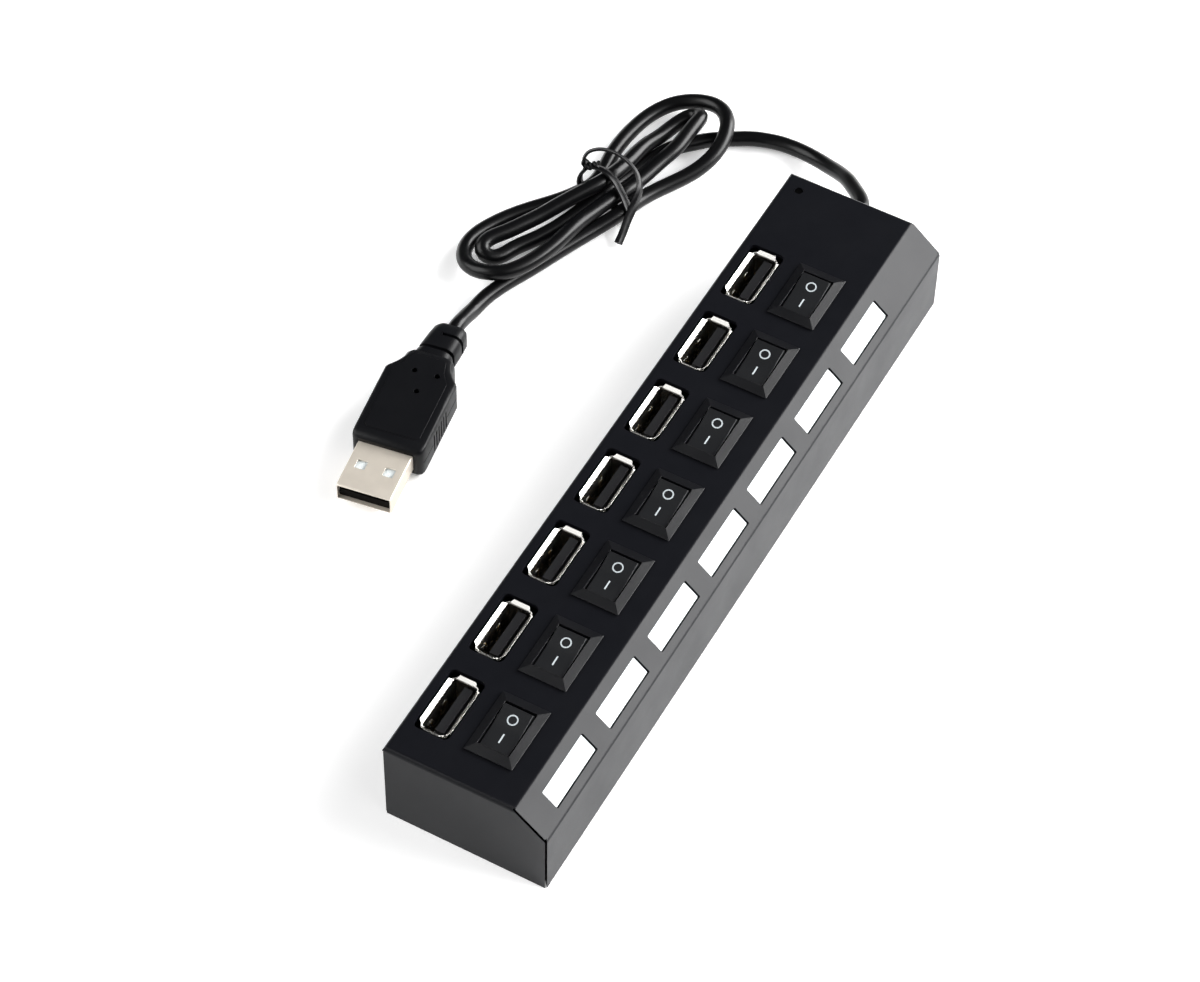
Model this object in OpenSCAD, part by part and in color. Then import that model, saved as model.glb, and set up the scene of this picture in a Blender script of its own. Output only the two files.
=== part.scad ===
// Seven-port powered USB hub bar: folded steel housing, upright sockets, one rocker switch and one
// light window per socket, and an attached upstream lead folded into a tied hank.
// Frame: origin at the bottom centre of the housing, +X towards the cable end, -Y towards the
// light windows, +Z up. Millimetres.

/* [Housing] */
// Length of the housing
body_l = 167.5; // [166:0.5:175]
// Width of the housing
body_w = 35.4; // [35:0.1:38]
// Height of the housing
body_h = 21.9; // [21.5:0.1:23]
// Width of the slanted window face, measured level
slant_w = 7.0; // [6.8:0.1:7.4]
// Drop of the slanted window face
slant_d = 6.1; // [5.8:0.1:6.6]
// Thickness of the folded steel sheet
sheet = 1.0; // [0.8:0.1:1.2]
// Outside radius of the folds
fold_r = 1.0; // [0.8:0.1:1.2]
// Width of the open seam at the corners of the folded ends
seam = 0.35; // [0.2:0.05:0.5]
// Thickness of the moulded base plate
base_t = 2.0; // [1.6:0.1:2.4]

/* [Port row] */
// Number of sockets, switches and windows
ports = 7; // [2:1:7]
// Spacing from one port to the next
pitch = 20.55; // [20:0.05:20.8]
// Distance of the first port centre from the plain end
first_port = 14.75; // [14.5:0.05:15.5]
// Centre line of the sockets across the housing
socket_y = 11.6; // [11.4:0.1:12]
// Centre line of the switches across the housing
switch_y = -1.0; // [-1.4:0.1:-0.6]

/* [Socket] */
// Inside length of the socket mouth
mouth_l = 12.5; // [12.4:0.1:12.6]
// Inside width of the socket mouth
mouth_w = 5.12; // [5.02:0.02:5.22]
// Metal thickness of the socket shell
shell_t = 0.3; // [0.25:0.05:0.35]
// How far the mouth lips flare out on each side
lip_out = 0.65; // [0.5:0.05:0.8]
// Height of the flared lips
lip_h = 1.0; // [0.8:0.1:1.2]
// Height of the circuit board's top face
board_top = 7.9; // [7.8:0.1:8.1]
// Thickness of the circuit board
board_t = 1.6; // [1.2:0.1:1.6]

/* [Switch] */
// Length of the switch bezel
bezel_l = 15.0; // [14.6:0.1:15.4]
// Width of the switch bezel
bezel_w = 10.4; // [10.2:0.1:10.8]
// Height of the bezel's upright edge
bezel_edge = 0.4; // [0.3:0.1:0.6]
// Height of the bezel's rim above the panel
bezel_h = 1.15; // [1.1:0.05:1.3]
// Length of the rocker opening
opening_l = 10.3; // [10.3:0.1:10.6]
// Width of the rocker opening
opening_w = 6.5; // [6.4:0.1:6.8]
// Width of the rocker
rocker_w = 6.15; // [6:0.05:6.2]
// Radius of the rocker's ends about its pivot
rocker_r = 5.4; // [5.2:0.05:5.4]
// Depth of the rocker's pivot below the panel
pivot_depth = 1.5; // [1.4:0.1:1.6]
// Tilt of the rocker to each side of level
rocker_tilt = 8; // [6:0.5:8]

/* [Lead] */
// Diameter of the lead
cord_d = 3.4; // [3:0.1:3.6]
// Height of the cable entry
entry_z = 10.5; // [10.3:0.1:10.8]
// Position of the cable entry across the housing
entry_y = 4; // [3:0.5:5]

/* [Plug] */
// Width of the plug's metal shell
plug_shell_w = 12.0; // [12:0.1:12.1]
// Height of the plug's metal shell
plug_shell_h = 4.5; // [4.5:0.1:4.6]
// Bare length of the plug's metal shell
plug_shell_l = 12.0; // [11.8:0.1:12.4]
// Width of the plug's moulded body
plug_w = 15.4; // [15:0.1:16]
// Height of the plug's moulded body
plug_h = 8.4; // [8:0.1:9]
// Direction of the plug's axis, from its mouth to its lead
plug_turn = 10; // [0:1:20]

/* [Hidden] */
$fn = 48;
eps = 0.01;
far = 200;
port_list = [1 : ports];

// Places worked out from the driving sizes
half_l = body_l / 2;
half_w = body_w / 2;
slant_foot = body_h - slant_d;
slant_len = norm([slant_w, slant_d]);
slant_turn = -atan2(slant_w, slant_d);
under_panel = body_h - sheet;
board_under = board_top - board_t;
pivot_z = body_h - pivot_depth;
flat_n = 4;

// Clearances
loose = 0.15;
snug = 0.05;
slot_gap = 0.02;

// Fastening stacks: two at the plain end, two at the cable end
stacks = [[-79.8, -7.8], [-79.8, 12.5], [78.2, -7.8], [71, 12.5]];
stack_r = 2.3;
screw_r = 1.2;
screw_head_r = 2.3;
screw_len = 13;
tap_r = 1.25;
board_hole_r = 1.4;

// Circuit board outline, and the notch that clears the cable gland
board_l = 164.6;
board_w = 32.4;
notch_x = 75.5;
notch_half = 5.2;
header_size = [8, 10, 6];
header_x = notch_x - 1;
control_chip_at = [66.5, -5.2];
second_chip_at = [-17.6, -9];
crystal_at = [2.9, -9];

// Switch body below the panel
switch_body = [13.2, 8.4];
cavity = [11.4, 6.6];
cavity_top = 0.45;
switch_foot = 9.9;
switch_floor = 1.0;
pin_r = 1.0;
pin_reach = 0.6;
terminal_x = 2.9;
terminal_size = [0.6, 2.8];
terminal_top = 12.2;
pin_foot = 4.9;
rocker_corner = 54;
rocker_dip = 2.8;
rocker_skirt = 100;
stem_half = 1.3;
stem_low = -5;

// Socket cut-out, tongue and pins
cutout = [15.2, 7.7];
cutout_r = 1.2;
tongue_size = [11.1, 1.84];
tongue_y = -0.94;
tongue_top = body_h - 1.3;
socket_base_h = 2.6;
contact_x = [-3.5, -1, 1, 3.5];
contact_size = [1.0, 0.3];
contact_top = tongue_top - 0.4;
tab_size = [0.3, 2.0];
tab_foot = 5.4;

// Light window, measured along the slant from its foot
window_l = 15.1;
window_w = 4.2;
window_foot = 2.12;
window_sink = 0.5;
window_flange = [16.4, 6.2];
window_guide = [12, 3, 2];

// Power light
power_x = half_l - 4.1;
power_y = half_w - 3.9;
power_hole_r = 0.9;
power_pipe_r = 0.85;

// Cable gland
gland_out = 7;
gland_tip_r = 2.5;
gland_body_r = 3.2;
gland_flange_r = 4.2;
gland_flange_t = 1.0;

// Lead: routes of the stretches that aren't folded
cord_r = cord_d / 2;
lead_route = [
    [half_l - sheet, entry_y, entry_z], [half_l + 3, entry_y, entry_z],
    [half_l + gland_out, entry_y, entry_z], [93, 5, 10.1], [95, 6.6, 9.4], [97, 8.6, 8.5],
    [99.6, 11.3, 7.3], [102.2, 14.7, 5.4], [104.5, 18.8, 3.5], [106.2, 23, 2.3],
    [107, 28, 1.7], [106.4, 33, 1.7], [104.8, 37.5, 1.7], [102.4, 41, 1.7]
];
tail_route = [
    [42.3, 63.4, 1.7], [39.5, 64.2, 1.7], [36.5, 64.9, 1.7], [33.5, 65.5, 2], [30.5, 66, 2.6],
    [27.8, 66.2, 3.4], [25, 66.1, 4]
];
tube_sides = 8;

// Hank: the folded stretch, lying along its own axis, with a narrow waist under the tie
hank_at = [74, 57, 0];
hank_turn = -18;
hank_h = 7.4;
hank_near_end = [-28.1, 2.9];
hank_near_r = 9.3;
hank_far_end = [25.2, 1];
hank_far_r = 11;
hank_waist = [-8.6, 5.3];
hank_waist_half = 3;
tie_t = 0.8;
tie_w = 3;

// Plug, in its own frame: +X from the mouth to the lead
plug_at = [-23.5, 58.4, 0];
plug_wall = 0.3;
plug_embed = 4;
plug_mid = plug_h / 2;
plug_neck_w = 8.2;
plug_neck_h = 7;
plug_shoulder = 31.5;
plug_neck = 37.5;
plug_end = 49.5;
plug_lean = -1.5;
plug_relief_w = 7.4;
plug_relief_h = 6.4;
plug_edge = 1.4;
plug_window = [2.1, 2.1];
plug_window_x = 5.5;
plug_window_y = 3.05;
plug_tongue_h = 1.95;
plug_contact = [7.5, 1.0, 0.2];

// ---------------------------------------------------------------------------------------------
// Geometry helpers

function unit(v) = v / norm(v);

function turn_between(a, b) = let (t = b - a) t > 180 ? t - 360 : t < -180 ? t + 360 : t;

// Points of a fold of radius r at corner b, between a and c
function fold(a, b, c, r, n = flat_n) =
    let (
        u = unit(a - b),
        w = unit(c - b),
        half = acos(u * w) / 2,
        mid = b + unit(u + w) * r / sin(half),
        from = b + u * r / tan(half) - mid,
        to = b + w * r / tan(half) - mid,
        start = atan2(from.y, from.x),
        sweep = turn_between(start, atan2(to.y, to.x))
    )
    [for (i = [0 : n]) mid + r * [cos(start + sweep * i / n), sin(start + sweep * i / n)]];

// Corner b moved inwards by d from both of its sides
function inset(a, b, c, d) =
    let (u = unit(a - b), w = unit(c - b)) b + unit(u + w) * d / sin(acos(u * w) / 2);

// Points of a centred rectangle with rounded corners
function rounded_rect(l, w, r) =
    let (p = [[-l, -w] / 2, [l, -w] / 2, [l, w] / 2, [-l, w] / 2])
    [for (i = [0 : 3], q = fold(p[(i + 3) % 4], p[i], p[(i + 1) % 4], r)) q];

// Section of the housing across its length, as [y, z] corners from foot to foot
section = [
    [-half_w, 0], [-half_w, slant_foot], [-half_w + slant_w, body_h], [half_w, body_h], [half_w, 0]
];

// The section's outline moved in by d, with folds of radius r
function section_line(d, r) =
    let (
        q = [for (i = [1 : 3]) inset(section[i - 1], section[i], section[i + 1], d)],
        foot = [-half_w + d, 0],
        end = [half_w - d, 0]
    )
    concat([foot], fold(foot, q[0], q[1], r), fold(q[0], q[1], q[2], r), fold(q[1], q[2], end, r), [end]);

function flipped(list) = [for (i = [len(list) - 1 : -1 : 0]) list[i]];

// A flat [y, z] shape pushed along X from x0 over a length
module along_x(x0, length) {
    translate([x0, 0, 0]) rotate([90, 0, 90]) linear_extrude(length) children();
}

// A flat [x, z] shape pushed along Y, centred
module along_y(width) {
    rotate([90, 0, 0]) linear_extrude(width, center = true) children();
}

// Frame of the slanted face: X along the housing, +Z up the slant, +Y into the housing
module on_slant() {
    translate([0, -half_w, slant_foot]) rotate([slant_turn, 0, 0]) children();
}

function port_x(i) = -half_l + first_port + (i - 1) * pitch;

module at_socket(i) {
    translate([port_x(i), socket_y, 0]) children();
}

module at_switch(i) {
    translate([port_x(i), switch_y, 0]) children();
}

module at_stacks() {
    for (p = stacks) translate([p.x, p.y, 0]) children();
}

// ---------------------------------------------------------------------------------------------
// Housing

// A thin slab on the mitre of a fold line that runs along Z at the origin
module mitre_slab(length) {
    rotate([0, 0, 45]) translate([-1, -seam / 2, 0]) cube([3 * sheet + 1, seam, length]);
}

module seams() {
    for (end = [0, 1]) mirror([end, 0, 0]) translate([-half_l, 0, 0]) {
        translate([0, -half_w, -eps]) mitre_slab(slant_foot + sheet / 2);
        on_slant() mitre_slab(slant_len);
        mirror([0, 1, 0]) translate([0, -half_w, -eps]) mitre_slab(body_h - fold_r);
    }
}

module folded_sheet() {
    inner_r = max(fold_r - sheet, 0.2);
    along_x(-half_l, body_l)
        polygon(concat(section_line(0, fold_r), flipped(section_line(sheet, inner_r))));
    for (x = [-half_l, half_l - sheet]) along_x(x, sheet) polygon(section_line(0, fold_r));
}

module end_folds() {
    p = [[-half_l, -1], [-half_l, body_h], [half_l, body_h], [half_l, -1]];
    along_y(body_w + 2)
        polygon(concat([p[0]], fold(p[0], p[1], p[2], fold_r), fold(p[1], p[2], p[3], fold_r), [p[3]]));
}

module top_cover() {
    color("#1c1c1f") difference() {
        intersection() {
            folded_sheet();
            end_folds();
        }
        seams();
        for (i = port_list) {
            at_socket(i) translate([0, 0, under_panel - 1]) linear_extrude(sheet + 2)
                polygon(rounded_rect(cutout.x, cutout.y, cutout_r));
            at_switch(i) translate([0, 0, body_h])
                cube([switch_body.x + 2 * loose, switch_body.y + 2 * loose, 4 * sheet], center = true);
            on_slant() translate([port_x(i) - window_l / 2 - loose, -1, window_foot - loose])
                cube([window_l + 2 * loose, sheet + 2, window_w + 2 * loose]);
        }
        translate([power_x, power_y, under_panel - 1]) cylinder(r = power_hole_r, h = sheet + 2);
        translate([half_l - 2 * sheet, entry_y, entry_z]) rotate([0, 90, 0])
            cylinder(r = gland_body_r + snug, h = 4 * sheet);
    }
}

module base_plate() {
    color("#161618") difference() {
        translate([-half_l + sheet + loose, -half_w + sheet + loose, 0])
            cube([body_l - 2 * (sheet + loose), body_w - 2 * (sheet + loose), base_t]);
        at_stacks() {
            translate([0, 0, -eps]) cylinder(r = screw_r + 0.1, h = base_t + 1);
            translate([0, 0, -eps]) cylinder(r1 = screw_head_r + 0.2, r2 = screw_r + 0.1, h = 1.3);
        }
    }
}

module base_screws() {
    slot = [3, 0.6, 0.6];
    color("silver") at_stacks() difference() {
        rotate_extrude()
            polygon([[0, 0.1], [screw_head_r, 0.1], [screw_r, 1.25], [screw_r, screw_len], [0, screw_len]]);
        for (a = [0, 90]) rotate([0, 0, a]) translate([-slot.x / 2, -slot.y / 2, 0]) cube(slot);
    }
}

module cover_standoffs() {
    color("gainsboro") at_stacks() difference() {
        translate([0, 0, board_top]) cylinder(r = stack_r, h = under_panel - board_top);
        translate([0, 0, board_top - eps]) cylinder(r = tap_r, h = under_panel - board_top - 2);
    }
}

module board_spacers() {
    color("ivory") at_stacks() difference() {
        translate([0, 0, base_t]) cylinder(r = stack_r, h = board_under - base_t);
        translate([0, 0, base_t - eps]) cylinder(r = board_hole_r, h = board_under);
    }
}

// ---------------------------------------------------------------------------------------------
// Electronics

module main_board() {
    color("darkgreen") difference() {
        translate([-board_l / 2, -board_w / 2, board_under]) cube([board_l, board_w, board_t]);
        translate([notch_x, entry_y - notch_half, 0]) cube([far, 2 * notch_half, far]);
        at_stacks() cylinder(r = board_hole_r, h = far);
        for (i = port_list) {
            at_socket(i) contact_bars(0.1);
            at_socket(i) shell_tabs(0.15);
            at_switch(i) terminal_bars(0.1);
        }
    }
}

module hub_chips() {
    body = [10.2, 5.3, 1.65];
    lead = [0.3, 1.2, 0.5];
    lead_pitch = 0.65;
    for (p = [control_chip_at, second_chip_at]) translate([p.x, p.y, board_top]) {
        color("#202124") translate([-body.x / 2, -body.y / 2, 0.1]) cube(body);
        color("silver") for (k = [-6.5 : 6.5], side = [-1, 1])
            translate([k * lead_pitch, side * (body.y / 2 + lead.y / 2), lead.z / 2])
                cube([lead.x, lead.y, lead.z], center = true);
    }
}

module crystal() {
    can = [10.6, 3.8, 3.4];
    color("silver") translate([crystal_at.x, crystal_at.y, board_top]) {
        translate([-(can.x - can.y) / 2, -can.y / 2, 0]) cube([can.x - can.y, can.y, can.z]);
        for (side = [-1, 1]) translate([side * (can.x - can.y) / 2, 0, 0])
            cylinder(r = can.y / 2, h = can.z);
    }
}

module board_capacitors() {
    gap_x = pitch / 2;
    color("dimgray") for (i = [1 : ports - 1]) translate([port_x(i) + gap_x, 0, board_top]) {
        translate([0, 7, 0]) cylinder(r = 2, h = 5.4);
        translate([-1, -4.2, 0]) cube([2, 1.2, 1.1]);
    }
}

module port_leds() {
    led = [3.4, 2.8, 1.1];
    color("white") for (i = port_list) translate([port_x(i) - led.x / 2, -14.4, board_top]) cube(led);
}

module power_led() {
    led = [2.4, 1.6, 1.0];
    color("white") translate([power_x - led.x / 2, power_y - led.y / 2, board_top]) cube(led);
}

module power_light_pipe() {
    foot = board_top + 1.1;
    color("#d8e0e4") translate([power_x, power_y, 0]) {
        translate([0, 0, foot]) cylinder(r = power_pipe_r, h = body_h - 0.2 - foot);
        translate([0, 0, under_panel - 1]) cylinder(r = 1.6, h = 1);
    }
}

module cable_header() {
    color("ivory") translate([header_x - header_size.x, entry_y - header_size.y / 2, board_top])
        cube(header_size);
}

module inner_cable() {
    color("#141416") translate([header_x, entry_y, entry_z]) rotate([0, 90, 0])
        cylinder(r = cord_r, h = half_l - sheet - header_x);
}

module cable_gland() {
    inside = 1.5;
    wall_in = half_l - sheet;
    color("#18181a") translate([0, entry_y, entry_z]) rotate([0, 90, 0]) rotate_extrude()
        polygon([
            [cord_r + slot_gap, wall_in - inside], [gland_flange_r, wall_in - inside],
            [gland_flange_r, wall_in], [gland_body_r, wall_in], [gland_body_r, half_l],
            [gland_flange_r, half_l], [gland_flange_r, half_l + gland_flange_t],
            [gland_body_r, half_l + gland_flange_t], [gland_tip_r, half_l + gland_out],
            [cord_r + slot_gap, half_l + gland_out]
        ]);
}

// ---------------------------------------------------------------------------------------------
// Sockets

// The four contact bars of one socket, from the tongue down through the board
module contact_bars(grow = 0) {
    for (x = contact_x)
        translate([x - contact_size.x / 2 - grow, -contact_size.y - grow, pin_foot - grow])
            cube([contact_size.x + 2 * grow, contact_size.y + 2 * grow, contact_top - pin_foot + 2 * grow]);
}

// The two solder tabs at the ends of one socket shell
module shell_tabs(grow = 0) {
    for (side = [-1, 1]) translate([side * (mouth_l + shell_t) / 2, 0, (tab_foot + board_top + 0.5) / 2])
        cube([tab_size.x + 2 * grow, tab_size.y + 2 * grow, board_top + 0.5 - tab_foot + 2 * grow],
            center = true);
}

// One flared lip: the sheet's profile pushed along its side, centred on it
module lip(length, reach) {
    low = body_h - lip_h;
    along_y(length) polygon([
        [reach, low - shell_t], [reach + shell_t, low - shell_t],
        [reach + shell_t + lip_out, body_h - shell_t], [reach + shell_t + lip_out, body_h],
        [reach + lip_out, body_h], [reach, low]
    ]);
}

module socket_shell(i) {
    outer = [mouth_l + 2 * shell_t, mouth_w + 2 * shell_t];
    low = body_h - lip_h;
    color("#d9d6cc") at_socket(i) {
        difference() {
            translate([-outer.x / 2, -outer.y / 2, board_top]) cube([outer.x, outer.y, low - board_top]);
            translate([-mouth_l / 2, -mouth_w / 2, board_top - 1]) cube([mouth_l, mouth_w, far]);
        }
        for (a = [0, 180]) {
            rotate([0, 0, a]) lip(mouth_w - 0.6, mouth_l / 2);
            rotate([0, 0, a + 90]) lip(mouth_l - 0.6, mouth_w / 2);
        }
        shell_tabs();
    }
}

module socket_insulator(i) {
    color("#1a1a1c") at_socket(i) difference() {
        union() {
            translate([-mouth_l / 2 + slot_gap, -mouth_w / 2 + slot_gap, board_top])
                cube([mouth_l - 2 * slot_gap, mouth_w - 2 * slot_gap, socket_base_h]);
            translate([-tongue_size.x / 2, tongue_y - tongue_size.y / 2, board_top])
                cube([tongue_size.x, tongue_size.y, tongue_top - board_top]);
        }
        contact_bars(slot_gap);
    }
}

module socket_contacts() {
    color("goldenrod") for (i = port_list) at_socket(i) contact_bars();
}

// ---------------------------------------------------------------------------------------------
// Switches

// Sloped rim profile of the bezel for a given full length and opening
function bezel_profile(full, opening) = [
    [-full / 2, 0], [full / 2, 0], [full / 2, bezel_edge], [opening / 2, bezel_h],
    [-opening / 2, bezel_h], [-full / 2, bezel_edge]
];

module bezel() {
    translate([0, 0, body_h]) intersection() {
        along_y(bezel_w) polygon(bezel_profile(bezel_l, opening_l));
        along_x(-bezel_l / 2, bezel_l) polygon(bezel_profile(bezel_w, opening_w));
    }
}

// The two snap wedges that hold the switch behind the panel
module snaps() {
    reach = 0.6;
    for (side = [0, 180]) rotate([0, 0, side]) along_y(4) polygon([
        [switch_body.x / 2 - eps, under_panel - 3], [switch_body.x / 2 + reach, under_panel - 0.1],
        [switch_body.x / 2 - eps, under_panel - 0.1]
    ]);
}

module terminal_bars(grow = 0) {
    for (side = [-1, 1])
        translate([side * terminal_x, 0, (pin_foot + terminal_top) / 2])
            cube([terminal_size.x + 2 * grow, terminal_size.y + 2 * grow, terminal_top - pin_foot + 2 * grow],
                center = true);
}

module switch_frame(i) {
    color("#202023") at_switch(i) difference() {
        union() {
            bezel();
            translate([-switch_body.x / 2, -switch_body.y / 2, switch_foot])
                cube([switch_body.x, switch_body.y, body_h - switch_foot + eps]);
            snaps();
        }
        translate([-opening_l / 2, -opening_w / 2, body_h]) cube([opening_l, opening_w, 2 * bezel_h]);
        translate([-cavity.x / 2, -cavity.y / 2, switch_foot + switch_floor])
            cube([cavity.x, cavity.y, body_h + cavity_top - switch_foot - switch_floor]);
        translate([0, 0, pivot_z]) rotate([90, 0, 0])
            cylinder(r = pin_r + snug, h = switch_body.y + 1, center = true);
        terminal_bars(slot_gap);
    }
}

// Side view of the rocker about its pivot, level: a shallow valley between two round ends
function rocker_profile() = let (n = 8) concat(
    [for (k = [0 : n]) let (a = -rocker_skirt + (rocker_skirt - rocker_corner) * k / n)
        rocker_r * [sin(a), cos(a)]],
    [[0, rocker_dip]],
    [for (k = [0 : n]) let (a = rocker_corner + (rocker_skirt - rocker_corner) * k / n)
        rocker_r * [sin(a), cos(a)]],
    [
        [stem_half, rocker_r * cos(rocker_skirt)], [stem_half, stem_low],
        [-stem_half, stem_low], [-stem_half, rocker_r * cos(rocker_skirt)]
    ]
);

module rocker(i) {
    color("#26262a") at_switch(i) translate([0, 0, pivot_z]) rotate([0, -rocker_tilt, 0]) {
        along_y(rocker_w) polygon(rocker_profile());
        rotate([90, 0, 0]) cylinder(r = pin_r, h = rocker_w + 2 * (pin_reach + 0.1), center = true);
    }
}

module switch_terminals() {
    color("silver") for (i = port_list) at_switch(i) terminal_bars();
}

// ---------------------------------------------------------------------------------------------
// Light windows

module light_window(i) {
    mid = window_foot + window_w / 2;
    color("#eef2f2") on_slant() translate([port_x(i), 0, mid]) {
        translate([-window_l / 2, window_sink, -window_w / 2])
            cube([window_l, sheet - window_sink + eps, window_w]);
        translate([-window_flange.x / 2, sheet, -window_flange.y / 2])
            cube([window_flange.x, 1, window_flange.y]);
        translate([-window_guide.x / 2, sheet + 1 - eps, -window_guide.y / 2])
            cube([window_guide.x, window_guide.z, window_guide.y]);
    }
}

// ---------------------------------------------------------------------------------------------
// Lead

// Ring of points round one route point
function ring(p, along, r) =
    let (side = unit(cross(along, [0, 0, 1])), up = cross(side, along))
    [for (k = [0 : tube_sides - 1]) let (a = 360 * (k + 0.5) / tube_sides)
        p + r * (cos(a) * side + sin(a) * up)];

function route_way(route, i) =
    unit(route[min(i + 1, len(route) - 1)] - route[max(i - 1, 0)]);

// A tube with flat ends swept along a route
module tube(route, r) {
    n = len(route);
    m = tube_sides;
    points = [for (i = [0 : n - 1], q = ring(route[i], route_way(route, i), r)) q];
    sides = [for (i = [0 : n - 2], k = [0 : m - 1])
        [i * m + k, i * m + (k + 1) % m, (i + 1) * m + (k + 1) % m, (i + 1) * m + k]];
    caps = [[for (k = [0 : m - 1]) m - 1 - k], [for (k = [0 : m - 1]) (n - 1) * m + k]];
    polyhedron(points, concat(sides, caps));
}

module cord_lead() {
    color("#141416") tube(lead_route, cord_r);
}

module cord_tail() {
    color("#141416") tube(tail_route, cord_r);
}

module in_hank() {
    translate(hank_at) rotate([0, 0, hank_turn]) children();
}

module cord_hank() {
    near = hank_near_end;
    end = hank_far_end;
    color("#141416") in_hank() {
        translate(near) cylinder(r = hank_near_r, h = hank_h);
        translate(end) cylinder(r = hank_far_r, h = hank_h);
        linear_extrude(hank_h) polygon([
            near - [0, hank_near_r], [-hank_waist_half, hank_waist[0]], [hank_waist_half, hank_waist[0]],
            end - [0, hank_far_r], end + [0, hank_far_r], [hank_waist_half, hank_waist[1]],
            [-hank_waist_half, hank_waist[1]], near + [0, hank_near_r]
        ]);
    }
}

// A flat tie strip wound round the waist of the hank
module cord_tie() {
    inner = [hank_waist[1] - hank_waist[0] + 0.1, hank_h - tie_t + 0.05];
    outer = inner + 2 * [tie_t, tie_t];
    mid = [(hank_waist[0] + hank_waist[1]) / 2, outer.y / 2];
    color("#101012") in_hank() along_x(-tie_w / 2, tie_w) translate(mid) difference() {
        polygon(rounded_rect(outer.x, outer.y, 3));
        polygon(rounded_rect(inner.x, inner.y, 1.7));
    }
}

// ---------------------------------------------------------------------------------------------
// Plug

module in_plug() {
    translate(plug_at) rotate([0, 0, plug_turn]) children();
}

module plug_body() {
    back = plug_shell_l;
    side = [
        [back, plug_edge], [back + 0.8, 0], [plug_shoulder, 0], [plug_neck, plug_mid - plug_neck_h / 2],
        [plug_neck, plug_mid + plug_neck_h / 2], [plug_shoulder, plug_h], [back + 0.8, plug_h],
        [back, plug_h - plug_edge]
    ];
    plan = [
        [back, -plug_w / 2 + plug_edge], [back + plug_edge, -plug_w / 2], [plug_shoulder, -plug_w / 2],
        [plug_neck, -plug_neck_w / 2], [plug_neck, plug_neck_w / 2], [plug_shoulder, plug_w / 2],
        [back + plug_edge, plug_w / 2], [back, plug_w / 2 - plug_edge]
    ];
    relief = [
        [plug_neck - eps, -plug_relief_w / 2], [plug_end, plug_lean - plug_relief_w / 2],
        [plug_end, plug_lean + plug_relief_w / 2], [plug_neck - eps, plug_relief_w / 2]
    ];
    color("#161618") in_plug() difference() {
        union() {
            intersection() {
                along_y(plug_w + 2) polygon(side);
                linear_extrude(plug_h) polygon(plan);
            }
            translate([0, 0, plug_mid - plug_relief_h / 2]) linear_extrude(plug_relief_h) polygon(relief);
        }
        plug_shell_block(plug_shell_l + plug_embed, 0);
    }
}

// The outside of the plug's shell, or its inside when a wall is given
module plug_shell_block(length, wall) {
    translate([-eps, -plug_shell_w / 2 + wall, plug_mid - plug_shell_h / 2 + wall])
        cube([length + eps, plug_shell_w - 2 * wall, plug_shell_h - 2 * wall]);
}

module plug_shell() {
    color("#cfc8b8") in_plug() difference() {
        translate([eps, 0, 0]) plug_shell_block(plug_shell_l + plug_embed - eps, 0);
        translate([-1, 0, 0]) plug_shell_block(plug_shell_l + plug_embed + 2, plug_wall);
        for (side = [-1, 1])
            translate([plug_window_x, side * plug_window_y - plug_window.y / 2, 0])
                cube([plug_window.x, plug_window.y, plug_h]);
    }
}

module plug_insulator() {
    floor_z = plug_mid - plug_shell_h / 2 + plug_wall;
    width = plug_shell_w - 2 * plug_wall;
    color("#101012") in_plug() {
        translate([0.6, -width / 2, floor_z]) cube([plug_shell_l + plug_embed - 0.6, width, plug_tongue_h]);
        translate([plug_shell_l - 2, -width / 2, floor_z])
            cube([plug_embed + 2, width, plug_shell_h - 2 * plug_wall]);
    }
}

module plug_contacts() {
    top = plug_mid - plug_shell_h / 2 + plug_wall + plug_tongue_h;
    color("goldenrod") in_plug() for (y = contact_x)
        translate([1.6, y - plug_contact.y / 2, top]) cube(plug_contact);
}

// ---------------------------------------------------------------------------------------------
// Nodes

top_cover();
base_plate();
base_screws();
cover_standoffs();
board_spacers();
main_board();
hub_chips();
crystal();
board_capacitors();
port_leds();
power_led();
power_light_pipe();
cable_header();
inner_cable();
cable_gland();
socket_contacts();
switch_terminals();
for (i = port_list) {
    socket_shell(i);
    socket_insulator(i);
    switch_frame(i);
    rocker(i);
    light_window(i);
}
cord_lead();
cord_hank();
cord_tail();
cord_tie();
plug_body();
plug_shell();
plug_insulator();
plug_contacts();
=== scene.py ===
"""Seven-port USB hub bar with rocker switches, light windows and a tied lead."""

import math

import bmesh
import bpy
import numpy as np
from mathutils import Matrix, Vector


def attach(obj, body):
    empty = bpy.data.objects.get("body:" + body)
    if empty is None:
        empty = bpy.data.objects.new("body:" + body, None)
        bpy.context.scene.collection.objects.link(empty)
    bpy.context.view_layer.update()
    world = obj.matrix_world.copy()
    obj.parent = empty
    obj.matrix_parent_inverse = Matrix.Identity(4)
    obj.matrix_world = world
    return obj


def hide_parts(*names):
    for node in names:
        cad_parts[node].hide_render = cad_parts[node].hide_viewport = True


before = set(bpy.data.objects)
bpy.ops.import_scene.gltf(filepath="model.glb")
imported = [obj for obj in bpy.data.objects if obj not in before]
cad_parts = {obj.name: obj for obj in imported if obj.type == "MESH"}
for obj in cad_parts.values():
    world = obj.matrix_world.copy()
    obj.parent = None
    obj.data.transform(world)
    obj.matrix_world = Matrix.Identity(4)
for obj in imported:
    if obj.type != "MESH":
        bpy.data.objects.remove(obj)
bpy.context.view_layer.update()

MM = 0.001

# ---------------------------------------------------------------------------------------------
# Sizes, in millimetres, as in the CAD

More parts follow.
